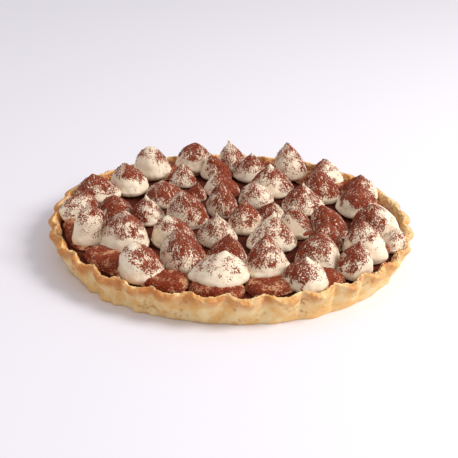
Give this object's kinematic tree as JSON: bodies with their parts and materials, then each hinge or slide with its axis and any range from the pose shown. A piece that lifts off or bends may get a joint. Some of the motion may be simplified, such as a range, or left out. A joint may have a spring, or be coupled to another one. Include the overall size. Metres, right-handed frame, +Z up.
{
  "type": "tiramisu tart",
  "caption": "Round fluted shortcrust tart with a coffee filling, sponge fingers and piped cream kisses dusted with cocoa.",
  "frame": {"origin": "centre of the flat underside of the crust", "axes": "+Z up, -Y towards the side that the picture is taken from, +X to its right"},
  "size_m": [0.2498, 0.2498, 0.045],
  "materials": {
    "pastry": "dry baked shortcrust, browned at the rim",
    "cream": "smooth piped cream dusted with cocoa powder",
    "cocoa_filling": "dark filling under cocoa powder",
    "sponge": "grainy sponge finger under cocoa powder"
  },
  "bodies": {
    "root": {"crust": "pastry", "filling": "cocoa_filling", "finger_01": "sponge", "finger_02": "sponge", "finger_03": "sponge", "finger_04": "sponge", "finger_05": "sponge", "finger_06": "sponge", "finger_07": "sponge", "finger_08": "sponge", "finger_09": "sponge", "finger_10": "sponge", "finger_11": "sponge", "finger_12": "sponge", "kiss_01": "cream", "kiss_02": "cream", "kiss_03": "cream", "kiss_04": "cream", "kiss_05": "cream", "kiss_06": "cream", "kiss_07": "cream", "kiss_08": "cream", "kiss_09": "cream", "kiss_10": "cream", "kiss_11": "cream", "kiss_12": "cream", "kiss_13": "cream", "kiss_14": "cream", "kiss_15": "cream", "kiss_16": "cream", "kiss_17": "cream", "kiss_18": "cream", "kiss_19": "cream", "kiss_20": "cream", "kiss_21": "cream", "kiss_22": "cream", "kiss_23": "cream", "kiss_24": "cream", "kiss_25": "cream", "kiss_26": "cream", "kiss_27": "cream", "kiss_28": "cream", "kiss_29": "cream", "kiss_30": "cream", "kiss_31": "cream", "kiss_32": "cream", "kiss_33": "cream", "kiss_34": "cream", "kiss_35": "cream", "kiss_36": "cream", "kiss_37": "cream", "kiss_38": "cream", "kiss_39": "cream", "kiss_40": "cream", "kiss_41": "cream", "kiss_42": "cream", "kiss_43": "cream", "kiss_44": "cream", "kiss_45": "cream"}
  },
  "joints": []
}
